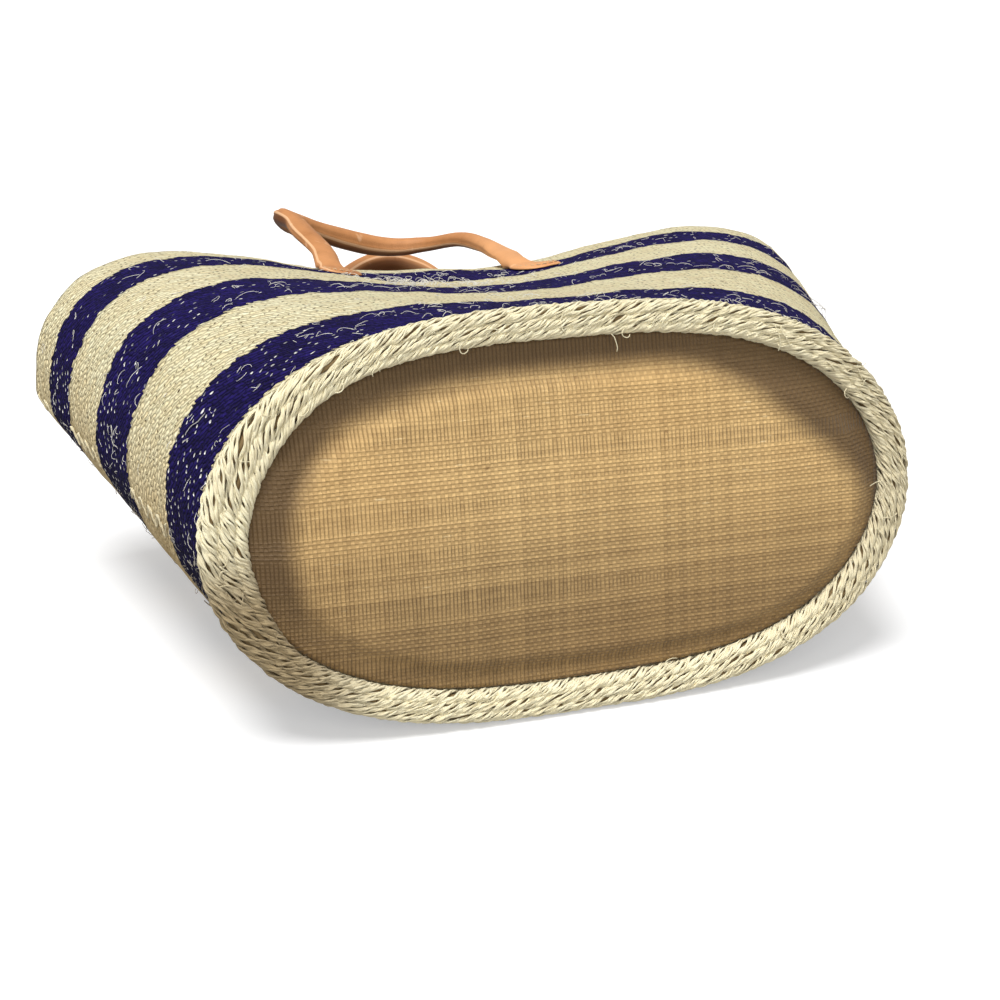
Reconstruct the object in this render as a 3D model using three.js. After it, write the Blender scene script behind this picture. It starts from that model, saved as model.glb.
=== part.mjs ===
import * as THREE from "three";

// A woven straw tote bag, lying on its lower wall as it was photographed.
// X runs along the base oval, Y from the base to the mouth, Z up. Sizes are in mm, angles in degrees.

// Base oval, measured on the outer face of the woven wall
const baseHalfLength = 190;
const baseHalfHeight = 101;
const baseEndPower = 2.9;
const baseSidePower = 1.92;
const baseTilt = 12.6;

// Mouth, measured on the outer face of the woven wall
const mouthHalfLength = 252;
const mouthRise = 137.5;
const mouthDrop = 108;
const mouthEndPower = 2.5;
const mouthUpperPower = 2.6;
const mouthLowerPower = 1.38;
const mouthTilt = 5.3;
const mouthShift = 15;
const mouthBow = 17;
const lipBow = 7;

// How the upper wall swells beside the base and sags towards the mouth
const upperSwell = 13;
const mouthSag = 93.5;
const middleSag = 12.5;
const sagSpread = 0.84;
const sagFade = 0.48;
const mouthLean = 3.5;

// How the upper lip curls up between the handle's roots
const lipCurl = 5.5;
const lipCurlSpread = 42;
const lipCurlCentre = 8;
const lipCurlFrom = 0.72;
const lipCurlTo = 0.9;

// How the lower wall lies: pressed flat on the ground behind the border, then lifted over the strap
// of the back handle, at these shares of the way from the base to the mouth
const groundPress = 3;
const settledBy = 0.15;
const liftFrom = 0.45;
const liftTo = 0.78;

// Woven wall: the rows of natural and indigo weft, from the base to the mouth
const wallThickness = 3.5;
const bandHeights = [5, 46, 58, 51, 50.5, 38, 29.5];
const bandColours = ["natural", "indigo", "natural", "indigo", "natural", "indigo", "natural"];
const tallBandHeight = 35;
const hemHeight = 18;
const hemThickness = 2.5;

// Rolled border round the base
const borderOut = 3.2;
const borderWidth = 16.6;
const borderDepth = 13;
const borderSides = 10;

// Base cover, stiffening board and inner lining
const coverRecess = 8;
const coverThickness = 1.5;
const coverSwell = 1;
const boardThickness = 3;
const boardHalfLength = 160;
const boardHalfHeight = 70;
const boardShiftX = 8;
const boardShiftUp = -5;
const liningThickness = 1.2;

// Handles: a rolled leather sleeve round a cord, sewn on by flared tabs
const strapRadius = 5.2;
const sleeveThickness = 1.9;
const strapSides = 10;
const coreSides = 8;
const strapSteps = 36;
const tabThickness = 2.5;
const tabEdgeRound = 0.8;
const tabLength = 32;
const tabWidth = 30;
const rootFromMouth = 22;
const leftRoot = { x: -61, lean: 4 };
const rightRoot = { x: 60, lean: 12 };
const threadRadius = 0.5;
const threadInset = 3;
const threadStart = radians(48);
const threadPoints = 16;
const threadSteps = 22;
const threadSides = 5;
const tabSides = 24;
const tabRoundness = 0.8;
const tabTaper = 0.55;
const tabCrown = 0.93;
const tabHeart = 0.5;

// Side seam: one strand laced over the joint of the weave
const seamAngle = 187;
const seamStrandRadius = 1.1;
const seamHalfWidth = 4.5;
const seamPitch = 13;
const seamStepsPerCrossing = 2;

// Gaps between pieces that rest on each other, and between the faceted wall and what is sewn to it
const seatGap = 0.3;
const clothGap = 0.6;

// How finely the ovals are divided, and the short steps by which a face's direction is found
const wallSides = 56;
const probeReach = 2;
const probeTurn = 0.01;

const finishes = {
  natural: { color: 0xded0a3, roughness: 0.85 },
  indigo: { color: 0x241f55, roughness: 0.85 },
  border: { color: 0xcdbd92, roughness: 0.9 },
  raffia: { color: 0xb08a58, roughness: 0.8 },
  board: { color: 0x9c8460, roughness: 0.9 },
  lining: { color: 0xc9b58a, roughness: 0.9 },
  leather: { color: 0xd6965f, roughness: 0.5 },
  cord: { color: 0xd8cfb8, roughness: 0.9 },
  thread: { color: 0xe9dcc0, roughness: 0.8 },
};

const seatDepth = borderDepth / Math.cos(radians(baseTilt));
const wallLength = seatDepth + sum(bandHeights);
const liftForStrap = seatGap + 2 * strapRadius + clothGap;
const tabStart = strapRadius + clothGap;

function radians(angle) {
  return (angle * Math.PI) / 180;
}

function sum(values) {
  return values.reduce((total, value) => total + value, 0);
}

function blend(from, to, share) {
  return from + (to - from) * share;
}

function smoothStep(value, from, to) {
  const share = THREE.MathUtils.clamp((value - from) / (to - from), 0, 1);
  return share * share * (3 - 2 * share);
}

function signedPower(value, power) {
  return Math.sign(value) * Math.abs(value) ** power;
}

// The wall's measures at a distance along Y from the foot of the base
function wallMeasures(along) {
  const share = THREE.MathUtils.clamp((along - seatDepth) / (wallLength - seatDepth), 0, 1);
  const middle = 4 * share * (1 - share);
  const settled = smoothStep(share, 0, settledBy);
  return {
    along,
    share,
    tilt: radians(blend(baseTilt, mouthTilt, share)),
    halfLength: blend(baseHalfLength, mouthHalfLength, share),
    rise: blend(baseHalfHeight, mouthRise, share) + upperSwell * middle,
    drop: blend(baseHalfHeight, mouthDrop, share) + settled * (borderOut * (1 - share) + groundPress),
    centre: blend(baseHalfHeight + borderOut, mouthDrop, share),
    endPower: blend(baseEndPower, mouthEndPower, share),
    upperPower: blend(baseSidePower, mouthUpperPower, share),
    lowerPower: blend(baseSidePower, mouthLowerPower, share),
    sag: mouthSag * share + middleSag * middle,
    shift: mouthShift * share,
    bow: mouthBow * share + lipBow * share ** 4,
    lean: mouthLean * share,
    curl: lipCurl * smoothStep(share, lipCurlFrom, lipCurlTo),
    floor: liftForStrap * smoothStep(share, liftFrom, liftTo),
  };
}

// Height in the tilted section plane of the wall's outer face, for the cosine and sine of its angle
function sectionHeight(wall, cosine, sine) {
  if (sine < 0) {
    const under = wall.centre - wall.drop * Math.abs(sine) ** (2 / wall.lowerPower);
    return Math.max(under, wall.floor / Math.cos(wall.tilt));
  }
  const across = signedPower(cosine, 2 / wall.endPower);
  const sag = wall.sag * Math.exp(-((across / sagSpread) ** 2));
  const fromCurl = (across * wall.halfLength + wall.shift - lipCurlCentre) / lipCurlSpread;
  const curl = wall.curl * Math.exp(-fromCurl * fromCurl);
  const rise = wall.rise - wall.lean * across;
  return wall.centre + rise * sine ** (2 / wall.upperPower) - (sag - curl) * sine ** sagFade;
}

// A point of the wall's outer face, in its section plane
function sectionPoint(wall, angle) {
  const cosine = Math.cos(angle);
  const x = wall.halfLength * signedPower(cosine, 2 / wall.endPower);
  return new THREE.Vector2(x, sectionHeight(wall, cosine, Math.sin(angle)));
}

function sectionOutline(wall) {
  const points = [];
  for (let i = 0; i < wallSides; i += 1) {
    points.push(sectionPoint(wall, (2 * Math.PI * i) / wallSides));
  }
  return points;
}

// The outline moved inwards by an inset, or outwards by a negative one
function insetOutline(points, inset) {
  const count = points.length;
  return points.map((point, i) => {
    const before = points[(i + count - 1) % count];
    const after = points[(i + 1) % count];
    const alongEdge = after.clone().sub(before).normalize();
    return new THREE.Vector2(point.x - alongEdge.y * inset, point.y + alongEdge.x * inset);
  });
}

// A point of a section plane, brought into the part's frame
function toSpace(wall, point) {
  const across = point.x / wall.halfLength;
  const y = wall.along + point.y * Math.sin(wall.tilt) - wall.bow * across * across;
  return new THREE.Vector3(point.x + wall.shift, y, point.y * Math.cos(wall.tilt));
}

function wallLoop(along, inset) {
  const wall = wallMeasures(along);
  return insetOutline(sectionOutline(wall), inset).map((point) => toSpace(wall, point));
}

// A loop of the base oval, inset and at a depth square to the base plane
function baseLoop(inset, depth) {
  return wallLoop(depth / Math.cos(radians(baseTilt)), inset);
}

// A point on the upper (side 1) or lower (side -1) wall, raised off its outer face
function onWall(x, along, side, raise) {
  const face = wallFacePoint(x, along, side);
  const alongX = wallFacePoint(x + probeReach, along, side).sub(face);
  const alongY = wallFacePoint(x, along + probeReach, side).sub(face);
  const outward = alongX.cross(alongY).normalize().multiplyScalar(side);
  return face.addScaledVector(outward, raise);
}

function wallFacePoint(x, along, side) {
  const wall = wallMeasures(along);
  const across = (x - wall.shift) / wall.halfLength;
  const cosine = signedPower(across, wall.endPower / 2);
  const sine = side * Math.sqrt(1 - cosine * cosine);
  const height = sectionHeight(wall, cosine, sine);
  return toSpace(wall, new THREE.Vector2(x - wall.shift, height));
}

// A closed mesh from vertices and triangles, welded and with its own material
function solid(name, vertices, triangles, finish) {
  const geometry = new THREE.BufferGeometry();
  const flat = vertices.flatMap((vertex) => [vertex.x, vertex.y, vertex.z]);
  geometry.setAttribute("position", new THREE.Float32BufferAttribute(flat, 3));
  geometry.setIndex(triangles);
  geometry.computeVertexNormals();
  const material = new THREE.MeshStandardMaterial({ ...finishes[finish], metalness: 0 });
  const mesh = new THREE.Mesh(geometry, material);
  mesh.name = name;
  return mesh;
}

// Triangles between two loops of the same count, with either diagonal
function stitchLoops(triangles, first, second, count, otherDiagonal) {
  for (let i = 0; i < count; i += 1) {
    const next = (i + 1) % count;
    const a = first + i;
    const b = first + next;
    const c = second + next;
    const d = second + i;
    if (otherDiagonal) {
      triangles.push(a, d, b, b, d, c);
    } else {
      triangles.push(a, c, b, a, d, c);
    }
  }
}

// A ring whose cross-section is the closed row of loops; its last face uses the other diagonal, so
// that it matches the first ring's face where two rings meet
function ringSolid(name, loops, finish) {
  const count = loops[0].length;
  const triangles = [];
  loops.forEach((loop, k) => {
    const last = k === loops.length - 1;
    stitchLoops(triangles, k * count, last ? 0 : (k + 1) * count, count, last);
  });
  return solid(name, loops.flat(), triangles, finish);
}

// A plate closed by a fan on its first and on its last loop
function plateSolid(name, loops, finish) {
  const count = loops[0].length;
  const vertices = loops.flat();
  const triangles = [];
  for (let k = 0; k + 1 < loops.length; k += 1) {
    stitchLoops(triangles, k * count, (k + 1) * count, count, false);
  }
  const firstCentre = vertices.length;
  vertices.push(middleOf(loops[0]), middleOf(loops[loops.length - 1]));
  const lastStart = (loops.length - 1) * count;
  for (let i = 0; i < count; i += 1) {
    const next = (i + 1) % count;
    triangles.push(firstCentre, i, next);
    triangles.push(firstCentre + 1, lastStart + next, lastStart + i);
  }
  return solid(name, vertices, triangles, finish);
}

function middleOf(loop) {
  const middle = new THREE.Vector3();
  loop.forEach((point) => middle.add(point));
  return middle.divideScalar(loop.length);
}

// Where a band's rings lie: its two edges, and one between on a tall band or where the hem starts
function bandStops(start, height, last) {
  const end = start + height;
  if (last) {
    return [start, end - hemHeight, end];
  }
  return height > tallBandHeight ? [start, start + height / 2, end] : [start, end];
}

// The woven wall, one ring of weft rows after another
function wallBands() {
  let start = seatDepth;
  return bandHeights.map((height, i) => {
    const stops = bandStops(start, height, i === bandHeights.length - 1);
    const outer = [];
    const inner = [];
    for (const along of stops) {
      outer.push(wallLoop(along, 0));
      inner.unshift(wallLoop(along, wallThickness));
    }
    start += height;
    const name = `weft_band_${i + 1}_${bandColours[i]}`;
    return ringSolid(name, outer.concat(inner), bandColours[i]);
  });
}

// The mouth's edge, turned in and lying against the inside of the last band
function mouthHem() {
  const outside = wallThickness + seatGap;
  const start = wallLength - hemHeight;
  const loops = [
    wallLoop(start, outside),
    wallLoop(wallLength, outside),
    wallLoop(wallLength, outside + hemThickness),
    wallLoop(start, outside + hemThickness),
  ];
  return ringSolid("mouth_hem", loops, "natural");
}

// The roll of turned-over strands round the base
function baseBorder() {
  const middleInset = borderWidth / 2 - borderOut;
  const middleDepth = (borderDepth - seatGap) / 2;
  const loops = [];
  for (let k = 0; k < borderSides; k += 1) {
    const angle = (2 * Math.PI * k) / borderSides;
    const inset = middleInset - (borderWidth / 2) * Math.cos(angle);
    const depth = middleDepth + middleDepth * Math.sin(angle);
    loops.push(baseLoop(inset, depth));
  }
  return ringSolid("base_border", loops, "border");
}

// A loop round the board, grown outwards, in the plane at a depth below the border
function boardLoop(depth, growth) {
  const wall = wallMeasures(depth / Math.cos(radians(baseTilt)));
  const points = [];
  for (let i = 0; i < wallSides; i += 1) {
    const angle = (2 * Math.PI * i) / wallSides;
    const x = (boardHalfLength + growth) * signedPower(Math.cos(angle), 2 / baseEndPower);
    const up = (boardHalfHeight + growth) * signedPower(Math.sin(angle), 2 / baseSidePower);
    points.push(new THREE.Vector2(x + boardShiftX, up + wall.centre + boardShiftUp));
  }
  return points.map((point) => toSpace(wall, point));
}

// The base: a cloth cover pushed out by the board behind it, and a lining on the inside
function basePlates() {
  const rim = borderWidth - borderOut + seatGap;
  const coverBack = coverRecess + coverThickness;
  const boardFront = coverBack + seatGap;
  const boardBack = boardFront + boardThickness;
  const liningFront = Math.max(boardBack + seatGap, borderDepth);
  const liningRim = wallThickness + seatGap;
  const cover = plateSolid("base_cover", [
    boardLoop(coverRecess - coverSwell, 0),
    boardLoop(coverRecess, coverSwell + coverThickness),
    baseLoop(rim, coverRecess),
    baseLoop(rim, coverBack),
  ], "raffia");
  const board = plateSolid("base_board", [boardLoop(boardFront, 0), boardLoop(boardBack, 0)], "board");
  const lining = plateSolid("base_lining", [
    baseLoop(liningRim, liningFront),
    baseLoop(liningRim, liningFront + liningThickness),
  ], "lining");
  return [cover, board, lining];
}

// Loops round a path, each a polygon square to it
function tubeLoops(path, steps, radius, sides) {
  const frames = path.computeFrenetFrames(steps, false);
  const loops = [];
  for (let k = 0; k <= steps; k += 1) {
    const centre = path.getPointAt(k / steps);
    const loop = [];
    for (let i = 0; i < sides; i += 1) {
      const angle = (-2 * Math.PI * i) / sides;
      const point = centre.clone();
      point.addScaledVector(frames.normals[k], radius * Math.cos(angle));
      point.addScaledVector(frames.binormals[k], radius * Math.sin(angle));
      loop.push(point);
    }
    loops.push(loop);
  }
  return loops;
}

// Where a strap's middle leaves the wall
function handleRoot(x, side) {
  return onWall(x, wallLength - rootFromMouth, side, clothGap + strapRadius);
}

// The handle's own frame: origin midway between its roots, X from the left root to the right one
function handleFrame(side) {
  const left = handleRoot(leftRoot.x, side);
  const right = handleRoot(rightRoot.x, side);
  const alongX = right.clone().sub(left).normalize();
  const alongY = new THREE.Vector3(0, 0, 1).cross(alongX).normalize();
  const alongZ = alongX.clone().cross(alongY);
  const group = new THREE.Group();
  group.quaternion.setFromRotationMatrix(new THREE.Matrix4().makeBasis(alongX, alongY, alongZ));
  group.position.copy(left).add(right).multiplyScalar(0.5);
  return { group, halfSpan: left.distanceTo(right) / 2 };
}

// The bends of each handle, between its roots, in the handle's own frame
const frontBends = [
  [-58, 16, 2],
  [-59.5, 36, 6],
  [-62, 59, 9],
  [-67.5, 79, 10],
  [-55.5, 94, 4],
  [-39, 102, -4],
  [-14, 110, -12],
  [7, 112, -17],
  [23, 109, -18],
  [39, 101, -15],
  [52, 76, -6],
  [57, 44, -2],
  [59, 16, -1],
];
const backBends = [
  [-58, 29, 1],
  [-59, 53, 10],
  [-53, 89, 51],
  [-39, 116, 89],
  [-16, 135, 118],
  [17, 145, 128],
  [50, 134, 118],
  [65, 112, 88],
  [66, 86, 51],
  [62, 53, 10],
  [59, 29, 1],
];

function handlePath(halfSpan, bends) {
  const points = bends.map((bend) => new THREE.Vector3(...bend));
  points.unshift(new THREE.Vector3(-halfSpan, 0, 0));
  points.push(new THREE.Vector3(halfSpan, 0, 0));
  return new THREE.CatmullRomCurve3(points, false, "centripetal");
}

// A rolled leather sleeve, open at both ends, and the cord it is rolled round
function handle(place, side, bends) {
  const { group, halfSpan } = handleFrame(side);
  const path = handlePath(halfSpan, bends);
  const bore = strapRadius - sleeveThickness;
  const outer = tubeLoops(path, strapSteps, strapRadius, strapSides);
  const inner = tubeLoops(path, strapSteps, bore, strapSides).reverse();
  const core = tubeLoops(path, strapSteps, bore - seatGap, coreSides);
  group.add(ringSolid(`handle_${place}_sleeve`, outer.concat(inner), "leather"));
  group.add(plateSolid(`handle_${place}_core`, core, "cord"));
  return group;
}

// A point on the outline of a tab: narrow at the strap, flared and leaning towards the base
function tabOutline(root, inset, angle) {
  const span = tabLength - 2 * inset;
  const share = 0.5 + 0.5 * signedPower(Math.sin(angle), tabRoundness);
  const along = wallLength - rootFromMouth - tabStart - inset - span * (1 - share);
  const halfWidth = (tabWidth / 2) * (1 - tabTaper * share) - inset;
  const lean = root.lean * (1 - share) ** 2;
  return { x: root.x + lean + halfWidth * signedPower(Math.cos(angle), tabRoundness), along };
}

// The tab's outline scaled about its middle and laid on the wall at a height
function tabLoop(root, side, scale, raise) {
  const centreAlong = wallLength - rootFromMouth - tabStart - tabLength / 2;
  const loop = [];
  for (let i = 0; i < tabSides; i += 1) {
    const angle = (-side * 2 * Math.PI * i) / tabSides;
    const edge = tabOutline(root, 0, angle);
    const x = blend(root.x, edge.x, scale);
    const along = blend(centreAlong, edge.along, scale);
    loop.push(onWall(x, along, side, raise));
  }
  return loop;
}

// A flat leather end with a rounded upper edge, between the wall and the thread
function tab(name, root, side) {
  const low = clothGap;
  const high = clothGap + tabThickness;
  return plateSolid(name, [
    tabLoop(root, side, tabHeart, low),
    tabLoop(root, side, 1, low),
    tabLoop(root, side, 1, high - tabEdgeRound),
    tabLoop(root, side, tabCrown, high),
    tabLoop(root, side, tabHeart, high),
  ], "leather");
}

// The thread that sews a tab down, from one side of the strap round to the other
function tabThread(name, root, side) {
  const raise = clothGap + tabThickness + seatGap + threadRadius;
  const points = [];
  for (let i = 0; i <= threadPoints; i += 1) {
    const angle = Math.PI / 2 + threadStart + ((2 * Math.PI - 2 * threadStart) * i) / threadPoints;
    const spot = tabOutline(root, threadInset, angle);
    points.push(onWall(spot.x, spot.along, side, raise));
  }
  const path = new THREE.CatmullRomCurve3(points, false, "centripetal");
  return plateSolid(name, tubeLoops(path, threadSteps, threadRadius, threadSides), "thread");
}

// The strand that laces the side seam, crossing it from row to row
function sideSeam() {
  const angle = radians(seamAngle);
  const raise = seatGap + seamStrandRadius;
  const start = seatDepth + seamPitch / 2;
  const crossings = Math.floor((wallLength - start) / (seamPitch / 2));
  const points = [];
  for (let i = 0; i <= crossings; i += 1) {
    const wall = wallMeasures(start + (i * seamPitch) / 2);
    const here = sectionPoint(wall, angle);
    const alongEdge = sectionPoint(wall, angle + probeTurn).sub(here).normalize();
    const outward = new THREE.Vector2(alongEdge.y, -alongEdge.x);
    const sideways = i % 2 === 0 ? seamHalfWidth : -seamHalfWidth;
    here.addScaledVector(alongEdge, sideways).addScaledVector(outward, raise);
    points.push(toSpace(wall, here));
  }
  const path = new THREE.CatmullRomCurve3(points, false, "centripetal");
  const loops = tubeLoops(path, crossings * seamStepsPerCrossing, seamStrandRadius, threadSides);
  return plateSolid("side_seam_lacing", loops, "natural");
}

const bag = new THREE.Group();
bag.add(...wallBands(), mouthHem(), baseBorder(), ...basePlates(), sideSeam());
bag.add(handle("front", 1, frontBends), handle("back", -1, backBends));
for (const [place, side] of [["front", 1], ["back", -1]]) {
  for (const [hand, root] of [["left", leftRoot], ["right", rightRoot]]) {
    bag.add(tab(`tab_${place}_${hand}`, root, side));
    bag.add(tabThread(`tab_thread_${place}_${hand}`, root, side));
  }
}

// The origin is the middle of the bag's footprint, on the ground
const bounds = new THREE.Box3().setFromObject(bag);
const centre = bounds.getCenter(new THREE.Vector3());
bag.position.set(-centre.x, -centre.y, -bounds.min.z);

export default bag;
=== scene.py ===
import math
import random
from math import pi, radians
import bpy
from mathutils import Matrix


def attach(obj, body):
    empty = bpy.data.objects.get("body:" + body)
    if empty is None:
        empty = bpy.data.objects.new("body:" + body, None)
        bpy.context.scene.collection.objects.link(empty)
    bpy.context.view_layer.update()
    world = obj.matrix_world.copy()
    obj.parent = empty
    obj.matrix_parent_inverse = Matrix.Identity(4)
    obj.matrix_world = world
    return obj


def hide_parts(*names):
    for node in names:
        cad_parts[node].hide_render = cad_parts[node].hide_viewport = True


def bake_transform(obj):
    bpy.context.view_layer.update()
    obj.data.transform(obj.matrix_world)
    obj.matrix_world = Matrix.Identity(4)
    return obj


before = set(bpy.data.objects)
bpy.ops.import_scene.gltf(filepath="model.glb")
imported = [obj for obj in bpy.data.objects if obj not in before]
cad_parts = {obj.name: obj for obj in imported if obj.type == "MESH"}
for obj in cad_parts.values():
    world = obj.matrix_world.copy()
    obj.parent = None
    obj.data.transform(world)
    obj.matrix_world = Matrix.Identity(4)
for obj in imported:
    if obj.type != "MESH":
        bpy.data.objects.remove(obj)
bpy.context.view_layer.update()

from types import SimpleNamespace

import bpy
import numpy as np
from mathutils import Matrix, Vector, noise

random.seed(7)

# Sizes of the bag in millimetres and degrees, from the foot of the base: X along the base oval,
# Y from the base to the mouth, Z up. SHIFT brings them to the part's origin.
SHIFT = np.array([-14.2412, -210.7537, 0.0])
METRE = 1000

BASE_HALF_LENGTH, BASE_HALF_HEIGHT = 190, 101
BASE_END_POWER, BASE_SIDE_POWER, BASE_TILT = 2.9, 1.92, 12.6
MOUTH_HALF_LENGTH, MOUTH_RISE, MOUTH_DROP = 252, 137.5, 108
MOUTH_END_POWER, MOUTH_UPPER_POWER, MOUTH_LOWER_POWER = 2.5, 2.6, 1.38
MOUTH_TILT, MOUTH_SHIFT, MOUTH_BOW, LIP_BOW, MOUTH_LEAN = 5.3, 15, 17, 7, 3.5
UPPER_SWELL, MOUTH_SAG, MIDDLE_SAG, SAG_SPREAD, SAG_FADE = 13, 93.5, 12.5, 0.84, 0.48
LIP_CURL, CURL_SPREAD, CURL_CENTRE, CURL_FROM, CURL_TO = 5.5, 42, 8, 0.72, 0.9
GROUND_PRESS, SETTLED_BY, LIFT_FROM, LIFT_TO = 3, 0.15, 0.45, 0.78
WALL_THICKNESS = 3.5

# The runs of weft from the base to the mouth, the hem and the base
BAND_HEIGHTS = [5, 46, 58, 51, 50.5, 38, 29.5]
BAND_COLOURS = ["natural", "indigo", "natural", "indigo", "natural", "indigo", "natural"]
HEM_HEIGHT, HEM_THICKNESS = 18, 2.5
BORDER_OUT, BORDER_WIDTH, BORDER_DEPTH = 3.2, 16.6, 13
BORDER_EXTRA = 7.5
COVER_RECESS, COVER_THICKNESS, COVER_SWELL, COVER_BULGE, COVER_GUTTER = 8, 1.5, 1, 5.6, 2.0
BOARD_HALF_LENGTH, BOARD_HALF_HEIGHT, BOARD_SHIFT_X, BOARD_SHIFT_UP = 160, 70, 8, -5
BOARD_THICKNESS, LINING_THICKNESS = 3, 1.2

# Handles, tabs and threads; a root is its place along X and its tab's lean
STRAP_RADIUS, TAB_THICKNESS, TAB_LENGTH, TAB_WIDTH = 5.2, 2.5, 32, 30
TAB_ROUNDNESS, TAB_TAPER, THREAD_INSET = 0.8, 0.55, 3
ROOT_FROM_MOUTH, ROOT_SPREAD = 22, 1.55
LEFT_ROOT, RIGHT_ROOT = (-61, 4), (60, 12)
CORD_SETBACK, CORD_SHARE = 26, 0.42
STITCH_LENGTH, STITCH_PITCH, STITCH_RADIUS, STITCH_FROM = 2.6, 3.9, 0.34, 52
SEAM_ANGLE, SEAM_HALF_WIDTH, SEAM_PITCH = 187, 4.5, 13
SEAT_GAP, CLOTH_GAP = 0.3, 0.6

# How finely things are divided, and the step by which a face's direction is found
OVAL_SAMPLES, COLUMNS, BAND_STEP = 1440, 424, 3.6
ROPE_SAMPLES, PLATE_SIDES, PLATE_RINGS = 760, 240, 46
STRAP_SIDES, STRAP_STEP, TAB_STEPS = 32, 2.2, 16
PROBE_REACH = 2

# How the base plane climbs, and how it faces
BASE_SINE, BASE_COSINE = math.sin(radians(BASE_TILT)), math.cos(radians(BASE_TILT))
BASE_UP = np.array([0, BASE_SINE, BASE_COSINE])
BASE_FACE = np.array([0, -BASE_COSINE, BASE_SINE])

SEAT_DEPTH = BORDER_DEPTH / BASE_COSINE
WALL_LENGTH = SEAT_DEPTH + sum(BAND_HEIGHTS)
LIFT_FOR_STRAP = SEAT_GAP + 2 * STRAP_RADIUS + CLOTH_GAP
TAB_START = STRAP_RADIUS + CLOTH_GAP

# The weave's floats round the bag, its rows up the wall, and how many rows one float climbs
FLOATS, ROWS = 158, 96
SLANT = 174 / FLOATS

# Texture coordinates: a strand's length for one unit of U, its step and its turn in V, and a
# plate's measure for one unit
STRAND_LENGTH, STRAND_V_STEP, STRAND_V_TURN = 100, 0.37, 0.1
STRANDS_PER_V = 2.7027
PLATE_UV = 400


def mix(start, end, share):
    return start + (end - start) * share


def smooth_step(value, start, end):
    share = min(max((value - start) / (end - start), 0), 1)
    return share * share * (3 - 2 * share)


def signed_power(value, power):
    return np.sign(value) * np.abs(value) ** power


def wall_at(along):
    """The wall's measures at a distance along Y from the foot of the base."""
    share = min(max((along - SEAT_DEPTH) / (WALL_LENGTH - SEAT_DEPTH), 0), 1)
    middle = 4 * share * (1 - share)
    settled = smooth_step(share, 0, SETTLED_BY)
    press = settled * (BORDER_OUT * (1 - share) + GROUND_PRESS)
    return SimpleNamespace(
        along=along,
        tilt=radians(mix(BASE_TILT, MOUTH_TILT, share)),
        half_length=mix(BASE_HALF_LENGTH, MOUTH_HALF_LENGTH, share),
        rise=mix(BASE_HALF_HEIGHT, MOUTH_RISE, share) + UPPER_SWELL * middle,
        drop=mix(BASE_HALF_HEIGHT, MOUTH_DROP, share) + press,
        centre=mix(BASE_HALF_HEIGHT + BORDER_OUT, MOUTH_DROP, share),
        end_power=mix(BASE_END_POWER, MOUTH_END_POWER, share),
        upper_power=mix(BASE_SIDE_POWER, MOUTH_UPPER_POWER, share),
        lower_power=mix(BASE_SIDE_POWER, MOUTH_LOWER_POWER, share),
        sag=MOUTH_SAG * share + MIDDLE_SAG * middle,
        shift=MOUTH_SHIFT * share,
        bow=MOUTH_BOW * share + LIP_BOW * share ** 4,
        lean=MOUTH_LEAN * share,
        curl=LIP_CURL * smooth_step(share, CURL_FROM, CURL_TO),
        floor=LIFT_FOR_STRAP * smooth_step(share, LIFT_FROM, LIFT_TO))


def section_height(wall, cosine, sine):
    """Height of the wall's outer face in its tilted section plane."""
    sine = np.asarray(sine, float)
    size = np.abs(sine)
    under = wall.centre - wall.drop * size ** (2 / wall.lower_power)
    under = np.maximum(under, wall.floor / math.cos(wall.tilt))
    across = signed_power(np.asarray(cosine, float), 2 / wall.end_power)
    sag = wall.sag * np.exp(-(across / SAG_SPREAD) ** 2)
    from_curl = (across * wall.half_length + wall.shift - CURL_CENTRE) / CURL_SPREAD
    curl = wall.curl * np.exp(-from_curl ** 2)
    rise = wall.rise - wall.lean * across
    over = wall.centre + rise * size ** (2 / wall.upper_power) - (sag - curl) * size ** SAG_FADE
    return np.where(sine < 0, under, over)


def section(wall, angle):
    """The outline of a section at one or more angles, in its plane."""
    x = wall.half_length * signed_power(np.cos(angle), 2 / wall.end_power)
    return np.stack([x, section_height(wall, np.cos(angle), np.sin(angle))], -1)


def to_space(wall, flat):
    """A point of a section plane, brought into the bag's frame."""
    across = flat[..., 0] / wall.half_length
    y = wall.along + flat[..., 1] * math.sin(wall.tilt) - wall.bow * across * across
    return np.stack([flat[..., 0] + wall.shift, y, flat[..., 1] * math.cos(wall.tilt)], -1)


def outward_of(flat):
    """Unit directions out of a closed outline."""
    edge = unit(np.roll(flat, -1, 0) - np.roll(flat, 1, 0))
    return np.stack([edge[:, 1], -edge[:, 0]], 1)


def unit(vectors):
    return vectors / np.linalg.norm(vectors, axis=-1, keepdims=True)


def length_along(points):
    return np.concatenate([[0], np.cumsum(np.linalg.norm(np.diff(points, axis=0), axis=1))])


def carried_outs(along, given):
    """Directions square to a path: the given ones at its start, then carried on from them."""
    outs = np.zeros_like(along)
    guide = given[0]
    for i in range(len(along)):
        guide = given[i] if i < len(given) else guide
        guide = unit(guide - along[i] * guide.dot(along[i]))
        outs[i] = guide
    return outs


def oval(along, inset, count):
    """A ring of the wall, moved inwards by the inset: its even points and the directions out."""
    wall = wall_at(along)
    angle = np.radians(SEAM_ANGLE) + np.linspace(0, 2 * pi, OVAL_SAMPLES, endpoint=False)
    flat = section(wall, angle)
    flat = flat - outward_of(flat) * inset
    closed = np.vstack([flat, flat[:1]])
    length = length_along(closed)
    stops = np.linspace(0, length[-1], count, endpoint=False)
    even = np.stack([np.interp(stops, length, closed[:, i]) for i in (0, 1)], 1)
    out = outward_of(even)
    tilt = np.array([0, math.sin(wall.tilt), math.cos(wall.tilt)])
    return to_space(wall, even), out[:, :1] * np.array([1, 0, 0]) + out[:, 1:] * tilt


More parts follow.
